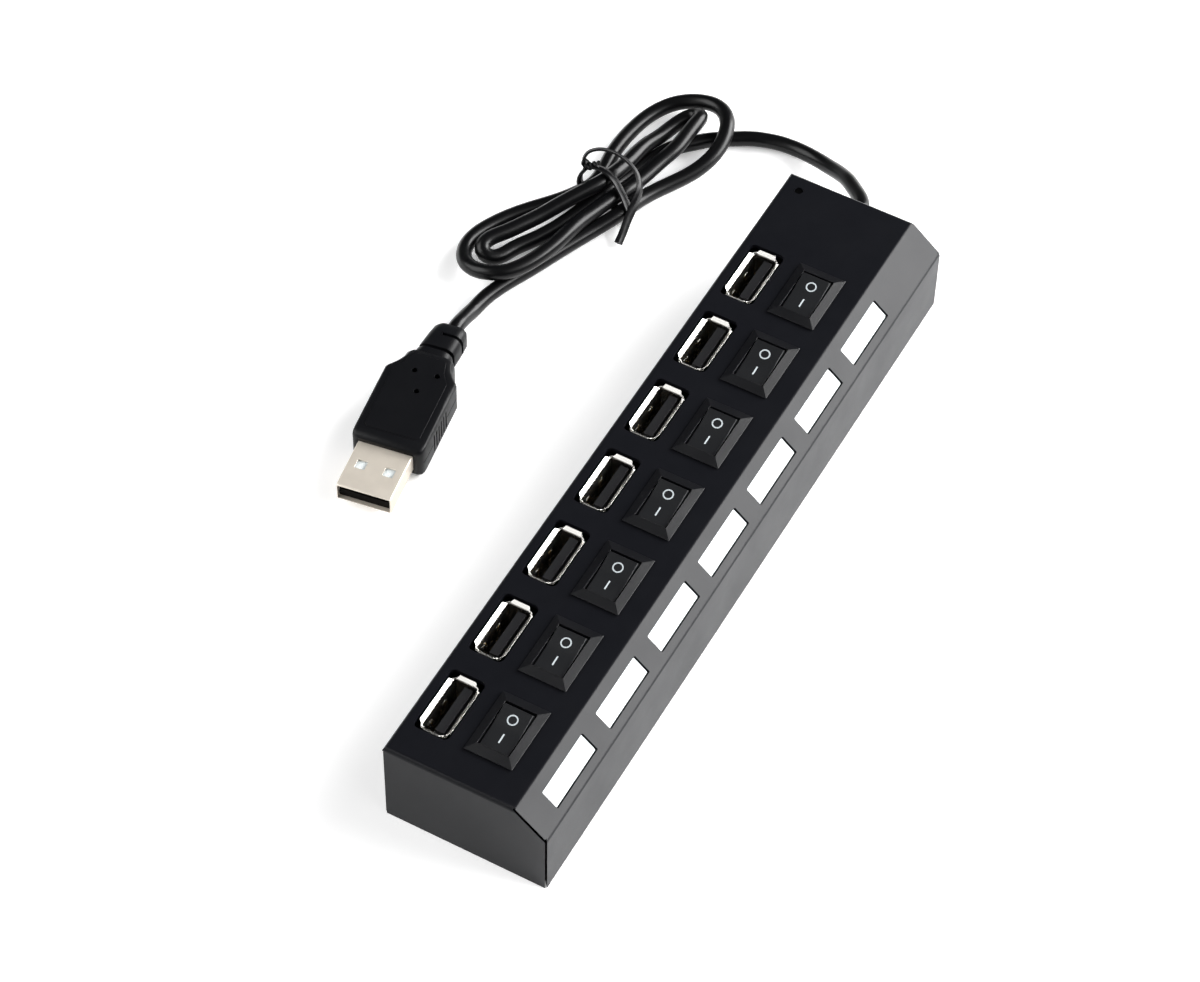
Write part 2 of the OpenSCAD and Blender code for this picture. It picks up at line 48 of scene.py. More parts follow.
LENGTH, WIDTH, HEIGHT = 167.5, 35.4, 21.9
SLANT_W, SLANT_D = 7.0, 6.1
SHEET, FOLD_R, SEAM = 1.0, 1.0, 0.45
PORTS = range(1, 8)
PITCH, FIRST = 20.55, 14.75
SOCKET_Y, SWITCH_Y = 11.6, -1.0
PIVOT_Z = HEIGHT - 1.5
TILT = 8
CORD_R = 1.7
HALF_L, HALF_W = LENGTH / 2, WIDTH / 2
SLANT_FOOT = HEIGHT - SLANT_D
SLANT_TURN = -math.degrees(math.atan2(SLANT_W, SLANT_D))


def port_x(i):
    return -HALF_L + FIRST + (i - 1) * PITCH


# ---------------------------------------------------------------------------------------------
# Mesh building. Points are in millimetres until a piece is made.


def clear_materials(ob):
    ob.data.materials.clear()


def make(name, parts, material, stands_for=(), body="housing", sharp=32, bevel=0.0,
         segments=2, bevel_angle=32):
    """One piece from a list of (points, faces) parts."""
    points, faces = join(parts)
    me = bpy.data.meshes.new(name)
    me.from_pydata([tuple(p) for p in np.asarray(points, float) * MM], [], faces)
    me.validate()
    ob = bpy.data.objects.new(name, me)
    bpy.context.scene.collection.objects.link(ob)
    finish_mesh(ob, material, sharp, bevel, segments, bevel_angle)
    register(ob, stands_for, body)
    return ob


def finish_mesh(ob, material, sharp=32, bevel=0.0, segments=2, bevel_angle=32):
    me = ob.data
    bm = bmesh.new()
    bm.from_mesh(me)
    bmesh.ops.recalc_face_normals(bm, faces=bm.faces)
    bm.to_mesh(me)
    bm.free()
    me.materials.clear()
    me.materials.append(material)
    me.polygons.foreach_set("use_smooth", [True] * len(me.polygons))
    me.set_sharp_from_angle(angle=math.radians(sharp))
    if bevel:
        mod = ob.modifiers.new("edges", "BEVEL")
        mod.width = bevel * MM
        mod.segments = segments
        mod.limit_method = "ANGLE"
        mod.angle_limit = math.radians(bevel_angle)
        mod.harden_normals = True
        mod.miter_outer = "MITER_ARC"


def register(ob, stands_for=(), body="housing"):
    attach(ob, body)
    if stands_for:
        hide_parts(*stands_for)


def join(parts):
    points, faces, base = [], [], 0
    for p, f in parts:
        points.extend(np.asarray(p, float).tolist())
        faces.extend([[k + base for k in face] for face in f])
        base = len(points)
    return points, faces


def moved(part, shift=(0, 0, 0), turn=None):
    p, f = part
    p = np.asarray(p, float)
    if turn is not None:
        p = p @ np.asarray(turn, float).T
    return p + np.asarray(shift, float), f


def turn_about(axis, degrees):
    return np.array(Matrix.Rotation(math.radians(degrees), 3, axis))


def loft(rings, closed=True, caps=(True, True)):
    """Skin over rings of equal length."""
    rings = [np.asarray(r, float) for r in rings]
    n = len(rings[0])
    points = np.concatenate(rings)
    faces = []
    last = n if closed else n - 1
    for i in range(len(rings) - 1):
        for k in range(last):
            a, b = i * n + k, i * n + (k + 1) % n
            faces.append([a, b, b + n, a + n])
    if caps[0]:
        faces.append(list(range(n))[::-1])
    if caps[1]:
        faces.append([(len(rings) - 1) * n + k for k in range(n)])
    return points, faces


def prism(outline, axis, low, high):
    """A flat outline pushed along X, Y or Z. Its own axes are (y, z), (x, z) or (x, y)."""
    q = np.asarray(outline, float)
    rings = []
    for w in (low, high):
        r = np.zeros((len(q), 3))
        others = [k for k in range(3) if k != axis]
        r[:, others] = q
        r[:, axis] = w
        rings.append(r)
    return loft(rings)


def block(low, high):
    return prism([(low[0], low[1]), (high[0], low[1]), (high[0], high[1]), (low[0], high[1])], 2,
                 low[2], high[2])


def arc(centre, r, start, end, n):
    a = np.radians(np.linspace(start, end, n + 1))
    return np.c_[centre[0] + r * np.cos(a), centre[1] + r * np.sin(a)]


def rounded(l, w, r, n=5):
    """Centred rectangle with round corners, n steps in each."""
    r = min(r, l / 2 - 1e-4, w / 2 - 1e-4)
    corners = [((l / 2 - r, -w / 2 + r), -90), ((l / 2 - r, w / 2 - r), 0),
               ((-l / 2 + r, w / 2 - r), 90), ((-l / 2 + r, -w / 2 + r), 180)]
    return np.concatenate([arc(c, r, a, a + 90, n) for c, a in corners])


def flat_ring(outline, z):
    q = np.asarray(outline, float)
    return np.c_[q, np.full(len(q), z)]


def fold(a, b, c, r, n=8):
    """Arc of radius r that rounds corner b between a and c."""
    a, b, c = (np.asarray(p, float) for p in (a, b, c))
    u, w = (a - b) / np.linalg.norm(a - b), (c - b) / np.linalg.norm(c - b)
    half = math.acos(float(np.clip(u @ w, -1, 1))) / 2
    m = (u + w) / np.linalg.norm(u + w)
    centre = b + m * r / math.sin(half)
    p, q = b + u * r / math.tan(half) - centre, b + w * r / math.tan(half) - centre
    s = math.atan2(p[1], p[0])
    d = (math.atan2(q[1], q[0]) - s + math.pi) % (2 * math.pi) - math.pi
    t = s + d * np.linspace(0, 1, n + 1)
    return np.c_[centre[0] + r * np.cos(t), centre[1] + r * np.sin(t)]


def inset_corner(a, b, c, d):
    a, b, c = (np.asarray(p, float) for p in (a, b, c))
    u, w = (a - b) / np.linalg.norm(a - b), (c - b) / np.linalg.norm(c - b)
    half = math.acos(float(u @ w)) / 2
    return b + (u + w) / np.linalg.norm(u + w) * d / math.sin(half)


def raw_object(name, parts):
    points, faces = join(parts)
    me = bpy.data.meshes.new(name)
    me.from_pydata([tuple(p) for p in np.asarray(points, float) * MM], [], faces)
    bm = bmesh.new()
    bm.from_mesh(me)
    bmesh.ops.recalc_face_normals(bm, faces=bm.faces)
    bm.to_mesh(me)
    bm.free()
    ob = bpy.data.objects.new(name, me)
    bpy.context.scene.collection.objects.link(ob)
    return ob


def carve(ob, parts, operation="DIFFERENCE", overlapping=False):
    """Boolean with the given parts, applied."""
    tool = raw_object("tool", parts)
    mod = ob.modifiers.new("carve", "BOOLEAN")
    mod.operation = operation
    mod.solver = "EXACT"
    mod.use_self = overlapping
    mod.object = tool
    bpy.context.view_layer.update()
    done = bpy.data.meshes.new_from_object(
        ob.evaluated_get(bpy.context.evaluated_depsgraph_get()))
    ob.modifiers.clear()
    ob.data = done
    bpy.data.objects.remove(tool)


# ---------------------------------------------------------------------------------------------
# Materials


def material(name, color, rough, metal=0.0, spread=0.06, scale=400.0, grain=0.0, grain_scale=4000.0,
             tint=0.12, ior=1.5, blotch=120.0, coat=0.0):
    """A principled surface whose colour and roughness drift, with a fine grain."""
    m = bpy.data.materials.new(name)
    m.use_nodes = True
    nodes, links = m.node_tree.nodes, m.node_tree.links
    shader = nodes["Principled BSDF"]
    shader.inputs["Metallic"].default_value = metal
    shader.inputs["IOR"].default_value = ior
    shader.inputs["Coat Weight"].default_value = coat
    shader.inputs["Coat Roughness"].default_value = 0.25
    origin = nodes.new("ShaderNodeTexCoord")
    own = nodes.new("ShaderNodeObjectInfo")
    place = nodes.new("ShaderNodeVectorMath")
    place.operation = "ADD"
    links.new(origin.outputs["Object"], place.inputs[0])
    links.new(own.outputs["Random"], place.inputs[1])
    drift = nodes.new("ShaderNodeTexNoise")
    drift.inputs["Scale"].default_value = blotch
    drift.inputs["Detail"].default_value = 4
    links.new(place.outputs["Vector"], drift.inputs["Vector"])
    rough_map = nodes.new("ShaderNodeMapRange")
    rough_map.inputs["To Min"].default_value = max(0.02, rough - spread)
    rough_map.inputs["To Max"].default_value = min(1.0, rough + spread)
    links.new(drift.outputs["Fac"], rough_map.inputs["Value"])
    links.new(rough_map.outputs["Result"], shader.inputs["Roughness"])
    speck = nodes.new("ShaderNodeTexNoise")
    speck.inputs["Scale"].default_value = scale
    speck.inputs["Detail"].default_value = 6
    links.new(place.outputs["Vector"], speck.inputs["Vector"])
    mix = nodes.new("ShaderNodeMix")
    mix.data_type = "RGBA"
    dark = [c * (1 - tint) for c in color] + [1]
    light = [min(1, c * (1 + tint)) for c in color] + [1]
    mix.inputs["A"].default_value = dark
    mix.inputs["B"].default_value = light
    links.new(speck.outputs["Fac"], mix.inputs["Factor"])
    links.new(mix.outputs["Result"], shader.inputs["Base Color"])
    if grain:
        fine = nodes.new("ShaderNodeTexNoise")
        fine.inputs["Scale"].default_value = grain_scale
        fine.inputs["Detail"].default_value = 3
        links.new(place.outputs["Vector"], fine.inputs["Vector"])
        bump = nodes.new("ShaderNodeBump")
        bump.inputs["Strength"].default_value = grain
        bump.inputs["Distance"].default_value = 0.00003
        links.new(fine.outputs["Fac"], bump.inputs["Height"])
        links.new(bump.outputs["Normal"], shader.inputs["Normal"])
    return m


PAINT = material("cover_paint", (0.0040, 0.0043, 0.0058), 0.36, grain=0.5, grain_scale=5200, ior=1.25)
BEZEL = material("bezel_plastic", (0.0022, 0.0024, 0.0034), 0.34, grain=0.5, grain_scale=3600, ior=1.48)
ROCKER = material("rocker_plastic", (0.0058, 0.0062, 0.0072), 0.36, grain=0.4, grain_scale=3000)
PRINT = material("printed_mark", (0.42, 0.46, 0.48), 0.55, tint=0.06)
WINDOW = material("window_plastic", (0.66, 0.71, 0.72), 0.35, grain=0.1, tint=0.03)
NICKEL = material("socket_nickel", (0.78, 0.765, 0.73), 0.22, metal=1.0, grain=0.15, tint=0.05)
INSERT = material("insert_plastic", (0.0045, 0.0038, 0.003), 0.6, grain=0.3, ior=1.12)
PLUG_NICKEL = material("plug_nickel", (0.70, 0.64, 0.555), 0.42, metal=0.55, grain=0.25, tint=0.07)
GOLD = material("contact_gold", (0.85, 0.60, 0.24), 0.25, metal=1.0, tint=0.05)
SOCKET_BLACK = material("socket_plastic", (0.010, 0.010, 0.011), 0.34, grain=0.3)
CORD = material("cord_jacket", (0.0020, 0.0021, 0.0024), 0.3, grain=0.35, grain_scale=2600, ior=1.31)
PLUG_BLACK = material("plug_plastic", (0.0024, 0.0026, 0.0034), 0.42, grain=0.6, grain_scale=2800, ior=1.27)
TIE = material("tie_plastic", (0.0028, 0.0028, 0.0034), 0.36, grain=0.3, ior=1.33)
GLAND = material("gland_rubber", (0.012, 0.012, 0.012), 0.5, grain=0.4)
BASE = material("base_plastic", (0.014, 0.014, 0.015), 0.55, grain=0.8, grain_scale=2200)
STEEL = material("screw_steel", (0.55, 0.55, 0.56), 0.32, metal=1.0, grain=0.2)
TIN = material("terminal_metal", (0.72, 0.71, 0.68), 0.35, metal=1.0, grain=0.2)
ALLOY = material("standoff_metal", (0.75, 0.75, 0.76), 0.3, metal=1.0, grain=0.2)
IVORY = material("spacer_plastic", (0.72, 0.68, 0.56), 0.5, grain=0.2)
LAMINATE = material("board_laminate", (0.010, 0.075, 0.030), 0.35, scale=900, tint=0.25, grain=0.2)
CHIP = material("chip_plastic", (0.018, 0.018, 0.018), 0.6, grain=0.5)
CAN = material("can_steel", (0.66, 0.66, 0.67), 0.25, metal=1.0, grain=0.2)
SLEEVE = material("capacitor_sleeve", (0.02, 0.02, 0.035), 0.3, grain=0.1)
RESIN = material("led_resin", (0.82, 0.82, 0.78), 0.3, grain=0.1)
PIPE = material("pipe_dark", (0.0008, 0.0008, 0.0009), 0.5, grain=0.1, ior=1.08)

for node, mat in {
    "base_plate": BASE, "base_screws": STEEL, "cover_standoffs": ALLOY, "board_spacers": IVORY,
    "main_board": LAMINATE, "hub_chips": CHIP, "crystal": CAN, "board_capacitors": SLEEVE,
    "port_leds": RESIN, "power_led": RESIN, "power_light_pipe": PIPE, "cable_header": IVORY,
    "inner_cable": CORD, "socket_contacts": GOLD, "switch_terminals": TIN, "cable_gland": GLAND,
    "plug_insulator": SOCKET_BLACK, "plug_contacts": GOLD, "plug_shell": PLUG_NICKEL,
    "plug_body": PLUG_BLACK, "cord_tie": TIE, "top_cover": PAINT,
    **{f"socket_shell_{i}": NICKEL for i in PORTS},
    **{f"socket_insulator_{i}": SOCKET_BLACK for i in PORTS},
    **{f"switch_frame_{i}": BEZEL for i in PORTS},
    **{f"rocker_{i}": ROCKER for i in PORTS},
    **{f"light_window_{i}": WINDOW for i in PORTS},
}.items():
    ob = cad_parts[node]
    for s in ob.material_slots:
        s.material = mat

# ---------------------------------------------------------------------------------------------
# Camera, at the photograph's viewing angle


def aim_camera(place, azimuth, elevation, roll, lens):
    a, e, r = (math.radians(v) for v in (azimuth, elevation, roll))
    ahead = Vector((math.cos(a) * math.cos(e), math.sin(a) * math.cos(e), -math.sin(e)))
    right = ahead.cross(Vector((0, 0, 1))).normalized()
    up = right.cross(ahead)
    right, up = right * math.cos(r) + up * math.sin(r), up * math.cos(r) - right * math.sin(r)
    data = bpy.data.cameras.new("camera")
    data.sensor_width = 36
    data.lens = lens
    data.clip_start, data.clip_end = 0.01, 20
    cam = bpy.data.objects.new("camera", data)
    cam.matrix_world = Matrix((
        (right.x, up.x, -ahead.x, place[0] * MM),
        (right.y, up.y, -ahead.y, place[1] * MM),
        (right.z, up.z, -ahead.z, place[2] * MM),
        (0, 0, 0, 1)))
    bpy.context.scene.collection.objects.link(cam)
    bpy.context.scene.camera = cam


aim_camera((-434.5, -214.8, 641.2), 28.09, 52.18, 1.07, 119.5)

# ---------------------------------------------------------------------------------------------
# Lead: one smooth line from the gland, five times through the tie, to the plug

HANK_AT, HANK_TURN = (74.0, 57.0), -18.0


def from_hank(points):
    a = math.radians(HANK_TURN)
    u, v = np.array([math.cos(a), math.sin(a)]), np.array([-math.sin(a), math.cos(a)])
    p = np.asarray(points, float)
    return np.c_[np.asarray(HANK_AT) + p[:, :1] * u + p[:, 1:2] * v, p[:, 2]]


LEAD = [
    (83.75, 4, 10.5), (87, 4, 10.5), (90.75, 4, 10.5), (93, 5, 10.1), (95, 6.6, 9.4),
    (97, 8.6, 8.5), (99.6, 11.3, 7.3), (102.2, 14.7, 5.4), (104.5, 18.8, 3.5), (106.2, 23, 2.3),
    (107, 28, 1.7), (106.4, 33, 1.7), (104.8, 37.5, 1.7),
]
FOLDS = [
    # the lead runs in under everything and through the tie
    (32, -6.2, 1.7), (29, -3.7, 1.7), (25.5, -1.8, 1.7), (21, 0.3, 1.7), (17, 1.1, 1.7),
    (13.5, 1.2, 1.7), (10, 0.9, 1.7), (5, 0.6, 2), (0, 0.3, 2.5), (-5, 0.4, 2), (-10, 0.4, 1.7),
    (-15, 0.6, 1.7), (-20, 1.4, 1.7), (-24, 2.3, 1.7), (-26.5, 2.4, 1.8),
    # inner fold, and back over the top of the tie
    (-28.6, 2.7, 2), (-30.1, 3.7, 2.4), (-30.5, 5, 2.9), (-29.9, 6.1, 3.3), (-28.2, 6.6, 3.6), (-26, 6.2, 3.8),
    (-23, 5.4, 3.8),
    (-20, 4.8, 3.9), (-15, 3.8, 4.1), (-10, 2.8, 4.9), (-5, 1.7, 5.6), (0, 0.8, 6), (5, 1.2, 5.5),
    (10, 2.1, 4.7), (15, 3, 3.8), (20, 3.8, 3.1), (24, 4.2, 2.8), (26.8, 4.1, 3),
    # inner fold at the other end
    (29, 3.5, 3.4), (30.1, 2.2, 4.1), (29.8, 0.8, 4.9), (28, 0.1, 5.3), (24, -1.1, 5.4),
    (19.5, -2.2, 5), (15, -2.3, 4.3), (10, -2.6, 3.7), (5, -2.9, 3.5), (0, -2.9, 3.9),
    (-5, -3.1, 4.2), (-10, -3.6, 4.5), (-15, -4.4, 4.8), (-20, -5, 5.1), (-25, -5.1, 5.1),
    (-29, -4.6, 5.1),
    # outer fold
    (-32.3, -3.4, 5.1), (-34.6, -0.9, 4.8), (-35.6, 2, 4.1), (-35.3, 5, 3.4), (-33.6, 7.7, 2.7),
    (-30.5, 9.7, 2.3), (-26.5, 10.5, 2), (-22.5, 10.3, 1.8), (-18.5, 9.6, 1.7), (-14, 8.2, 1.7),
    (-9.5, 6.5, 1.7), (-5, 4.9, 2), (0, 3.8, 2.5), (4.5, 5.2, 2.3), (9, 7.4, 2.1),
    (13.5, 9.1, 1.9), (18, 10.2, 1.8), (22.5, 10.7, 1.9), (26.5, 10.3, 2.2),
    # outer fold at the other end, over the lead
    (30, 8.8, 2.8), (33, 5.9, 3.5), (34.6, 2.5, 4.2), (34.6, -0.8, 4.8), (33, -4, 5.1),
    (30, -6.6, 5), (26.5, -8.1, 4.2), (22.5, -8.6, 3.2), (18, -8.1, 2.3), (13.5, -7.1, 1.9),
    (9, -6.2, 1.8), (4.5, -5.9, 2), (0, -6.2, 2.4), (-4.5, -5.8, 2), (-9, -5.2, 1.7),
    (-13.5, -4.9, 1.7), (-18, -4.7, 1.7), (-22.5, -4.5, 1.7), (-27, -4.2, 1.7), (-31.5, -3.8, 1.7),
]
TAIL = [(36.9, 65, 1.7), (32.4, 65.4, 2), (28.6, 65.4, 3.2), (25.4, 65.2, 4.2), (22, 65, 4.2)]


def resampled(points, step):
    """Smooth curve through the points (Catmull-Rom by chord length), evenly stepped."""
    p = np.asarray(points, float)
    p = np.vstack([2 * p[0] - p[1], p, 2 * p[-1] - p[-2]])
    out = []
    for i in range(1, len(p) - 2):
        p0, p1, p2, p3 = p[i - 1:i + 3]
        t0 = 0.0
        t1 = t0 + math.sqrt(np.linalg.norm(p1 - p0))
        t2 = t1 + math.sqrt(np.linalg.norm(p2 - p1))
        t3 = t2 + math.sqrt(np.linalg.norm(p3 - p2))
        t = np.linspace(t1, t2, 16, endpoint=False)[:, None]
        a1 = (t1 - t) / (t1 - t0) * p0 + (t - t0) / (t1 - t0) * p1
        a2 = (t2 - t) / (t2 - t1) * p1 + (t - t1) / (t2 - t1) * p2
        a3 = (t3 - t) / (t3 - t2) * p2 + (t - t2) / (t3 - t2) * p3
        b1 = (t2 - t) / (t2 - t0) * a1 + (t - t0) / (t2 - t0) * a2
        b2 = (t3 - t) / (t3 - t1) * a2 + (t - t1) / (t3 - t1) * a3
        out.append((t2 - t) / (t2 - t1) * b1 + (t - t1) / (t2 - t1) * b2)
    out = np.vstack(out + [p[-2][None]])
    run = np.r_[0, np.cumsum(np.linalg.norm(np.diff(out, axis=0), axis=1))]
    n = max(2, int(round(run[-1] / step)))
    s = np.linspace(0, run[-1], n + 1)
    return np.c_[[np.interp(s, run, out[:, k]) for k in range(3)]].T


def settle(path, r, rounds=80, pinned=12):
    """Eases strands that press into each other apart and evens the bends, off the floor."""
    p = path.copy()
    n = len(p)
    near = int(math.ceil(9 * r / np.linalg.norm(p[1] - p[0])))
    index = np.arange(n)
    apart = np.abs(index[:, None] - index[None, :]) > near
    free = np.ones(n)
    free[:pinned] = 0
    free[-pinned:] = 0
    for _ in range(rounds):
        gap = p[:, None] - p[None, :]
        dist = np.linalg.norm(gap, axis=2) + 1e-9
        push = np.where(apart & (dist < 2 * r), (2 * r - dist) / dist * 0.12, 0.0)
        p = p + (gap * push[:, :, None]).sum(1) * free[:, None]
        mid = p.copy()
        mid[2:-2] = (4 * (p[1:-3] + p[3:-1]) - p[:-4] - p[4:]) / 6
        p = p + (mid - p) * 0.1 * free[:, None]
        p[:, 2] = np.maximum(p[:, 2], r)
    return p


def frames_along(path, up=(0, 0, 1)):
    """Unit tangent, side and up at each point, turning as little as possible."""
    t = np.gradient(path, axis=0)
    t /= np.linalg.norm(t, axis=1)[:, None]
    side = np.zeros_like(path)
    s = np.cross(t[0], np.asarray(up, float))
    s /= np.linalg.norm(s)
    for i in range(len(path)):
        s = s - t[i] * (s @ t[i])
        s /= np.linalg.norm(s)
        side[i] = s
    return t, side, np.cross(side, t)


def tube(path, r, sides=20, ends=True):
    t, side, up = frames_along(path)
    a = np.linspace(0, 2 * math.pi, sides, endpoint=False)
    rings = [p + r * (np.cos(a)[:, None] * s + np.sin(a)[:, None] * u)
             for p, s, u in zip(path, side, up)]
    return loft(rings, caps=(ends, ends))


cord_line = np.vstack([LEAD, from_hank(FOLDS), TAIL])
cord_path = settle(resampled(cord_line, 0.9), CORD_R)
lead = make("lead", [tube(cord_path, CORD_R)], CORD, ("cord_lead", "cord_hank", "cord_tail"),
            sharp=60)

# ---------------------------------------------------------------------------------------------
# Cover: one folded sheet with closed ends


def section(d, r):
    """The housing's (y, z) outline moved in by d, with folds of radius r."""
    q = [(-HALF_W, 0), (-HALF_W, SLANT_FOOT), (-HALF_W + SLANT_W, HEIGHT), (HALF_W, HEIGHT),
         (HALF_W, 0)]
    corners = [inset_corner(*q[i - 1:i + 2], d) for i in (1, 2, 3)]
    foot, end = (-HALF_W + d, 0), (HALF_W - d, 0)
    return np.vstack([[foot], fold(foot, corners[0], corners[1], r),
                      fold(corners[0], corners[1], corners[2], r),
                      fold(corners[1], corners[2], end, r), [end]])


def on_slant(part):
    return moved(moved(part, turn=turn_about("X", SLANT_TURN)), (0, -HALF_W, SLANT_FOOT))


def cylinder(r, axis, low, high, centre=(0, 0), n=32):
    return prism(arc(centre, r, 0, 360 * (n - 1) / n, n - 1), axis, low, high)


ends = [(-HALF_L, -1), *fold((-HALF_L, -1), (-HALF_L, HEIGHT), (HALF_L, HEIGHT), FOLD_R),
        *fold((-HALF_L, HEIGHT), (HALF_L, HEIGHT), (HALF_L, -1), FOLD_R), (HALF_L, -1)]
cover = raw_object("cover", [prism(section(0, FOLD_R), 0, -HALF_L, HALF_L)])
carve(cover, [prism(ends, 1, -HALF_W - 1, HALF_W + 1)], "INTERSECT")
hollow = section(SHEET, 0.2)
hollow[0][1] = hollow[-1][1] = -1
carve(cover, [prism(hollow, 0, -HALF_L + SHEET, HALF_L - SHEET)])
holes = []
for i in PORTS:
    x = port_x(i)
    holes.append(prism(rounded(15.2, 7.7, 1.2) + (x, SOCKET_Y), 2, HEIGHT - 3, HEIGHT + 1))
    holes.append(prism(rounded(13.5, 8.7, 0.3, 2) + (x, SWITCH_Y), 2, HEIGHT - 3, HEIGHT + 1))
    holes.append(on_slant(prism(rounded(15.4, 4.5, 0.25, 3) + (x, 4.22), 1, -1, 2)))
holes.append(cylinder(0.9, 2, HEIGHT - 2, HEIGHT + 1, (HALF_L - 4.1, HALF_W - 3.9)))
holes.append(cylinder(3.25, 0, HALF_L - 2, HALF_L + 2, (4, 10.5)))
carve(cover, holes)
slits = []
for end in (-1, 1):
    slab = block((-1, -SEAM / 2, 0), (3, SEAM / 2, 1))
    for turn, y, top in ((45, -HALF_W, SLANT_FOOT + 0.4), (-45, HALF_W, HEIGHT - FOLD_R)):
        p = moved((slab[0] * (1, 1, top + 0.01), slab[1]), turn=turn_about("Z", turn))
        slits.append((moved(p, (-HALF_L, y, -0.01)), end))
    p = moved((slab[0] * (1, 1, math.hypot(SLANT_W, SLANT_D)), slab[1]), turn=turn_about("Z", 45))
    slits.append((moved(on_slant(p), (-HALF_L, 0, 0)), end))
for (p, f), end in slits:
    if end > 0:
        p, f = p * (-1, 1, 1), [face[::-1] for face in f]
    carve(cover, [(p, f)])
finish_mesh(cover, PAINT, 30, 0.1, 2, 35)
register(cover, ("top_cover",))
flat = cover.modifiers.new("flat", "WEIGHTED_NORMAL")
flat.keep_sharp = True


def repeated(make_first, count=7):
    """The first piece and its copies, one per port."""
    pieces = [make_first()]
    for _ in range(count - 1):
        ob = pieces[0].copy()
        bpy.context.scene.collection.objects.link(ob)
        pieces.append(ob)
    for i, ob in zip(PORTS, pieces):
        ob.location.x = port_x(i) * MM
    return pieces


# ---------------------------------------------------------------------------------------------
# Sockets


def lip(half, reach, narrow):
    """One rolled-out lip on the +Y side of the mouth, narrower at its tip."""
    steps = 8
    out, up = reach, HEIGHT - 1.2
    loops = []
    for k in range(steps + 1):
        t = k / steps
        bend = math.radians(46 * min(1, t * 3))
        if k:
            out += 1.2 / steps * math.sin(bend)
            up += 1.2 / steps * math.cos(bend)
        n = (math.cos(bend), -math.sin(bend))
        w = half - narrow * max(0, (t - 0.4) / 0.6)
        a, b = (out, up), (out + 0.32 * n[0], up + 0.32 * n[1])
        loops.append([(-w, a[0], a[1]), (w, a[0], a[1]), (w, b[0], b[1]), (-w, b[0], b[1])])
    return loft(loops)


def socket_parts():
    low, top = 7.9, HEIGHT - 1.15
    outer, inner = rounded(13.1, 5.72, 0.6, 4), rounded(12.5, 5.12, 0.3, 4)
    wall = loft([flat_ring(outer, low), flat_ring(outer, top), flat_ring(inner, top),
                 flat_ring(inner, low), flat_ring(outer, low)], caps=(False, False))
    parts = [wall]
    for turn, half, reach in ((0, 5.75, 2.56), (180, 5.75, 2.56), (90, 2.1, 6.25), (-90, 2.1, 6.25)):
        parts.append(moved(lip(half, reach, 0.4), turn=turn_about("Z", turn)))
    # corner edges of the mouth, seen between the lips
    for sx in (-1, 1):
        for sy in (-1, 1):
            p = [(5.6, 2.72, -1.0), (6.0, 2.76, -0.8), (6.36, 2.4, -0.8), (6.4, 1.95, -1.0)]
            path = np.array([(sx * a, sy * b, HEIGHT + c) for a, b, c in p])
            parts.append(tube(path, 0.16, 8))
    # pressed spring tongues on the long walls and the solder tabs
    for sy in (-1, 1):
        for x in (-3.2, 2.2):
            side = [(0, 0), (0.34, 2.2), (0.42, 3.0), (0.3, 3.7), (0.1, 4.1), (0.1, 3.7),
                    (0.18, 3.0), (0, 2.4)]
            q = [(sy * (2.6 - a), 14.2 + b) for a, b in side]
            parts.append(prism(q, 0, x - 0.75, x + 0.75))
    for sx in (-1, 1):
        parts.append(block((sx * 6.4 - 0.15, -1, 5.4), (sx * 6.4 + 0.15, 1, 8.4)))
    return [moved(p, (0, SOCKET_Y, 0)) for p in parts]


for i, ob in zip(PORTS, repeated(lambda: raw_object("socket_shell", socket_parts()))):
    if i == 1:
        finish_mesh(ob, NICKEL, 35, 0.06, 2, 40)
    elif "edges" not in ob.modifiers:
        m = ob.modifiers.new("edges", "BEVEL")
        m.width, m.segments, m.limit_method = 0.06 * MM, 2, "ANGLE"
        m.angle_limit, m.harden_normals = math.radians(40), True
    ob.name = f"socket_mouth_{i}"
    register(ob, (f"socket_shell_{i}",))


def insulator():
    parts = [block((-6.22, -2.54, 7.9), (6.22, 2.54, 10.5)),
             block((-5.55, -1.86, 10.4), (5.55, -0.02, 20.6))]
    ob = raw_object("socket_insulator", [moved(parts[0], (0, SOCKET_Y, 0))])
    carve(ob, [moved(parts[1], (0, SOCKET_Y, 0))], "UNION")
    carve(ob, [block((x - 0.52, SOCKET_Y - 0.32, 4), (x + 0.52, SOCKET_Y + 0.02, 20.22))
               for x in (-3.5, -1, 1, 3.5)])
    finish_mesh(ob, SOCKET_BLACK, 30, 0.16, 3, 35)
    return ob


for i, ob in zip(PORTS, repeated(insulator)):
    ob.name = f"socket_tongue_{i}"
    register(ob, (f"socket_insulator_{i}",))

# ---------------------------------------------------------------------------------------------
# Switches


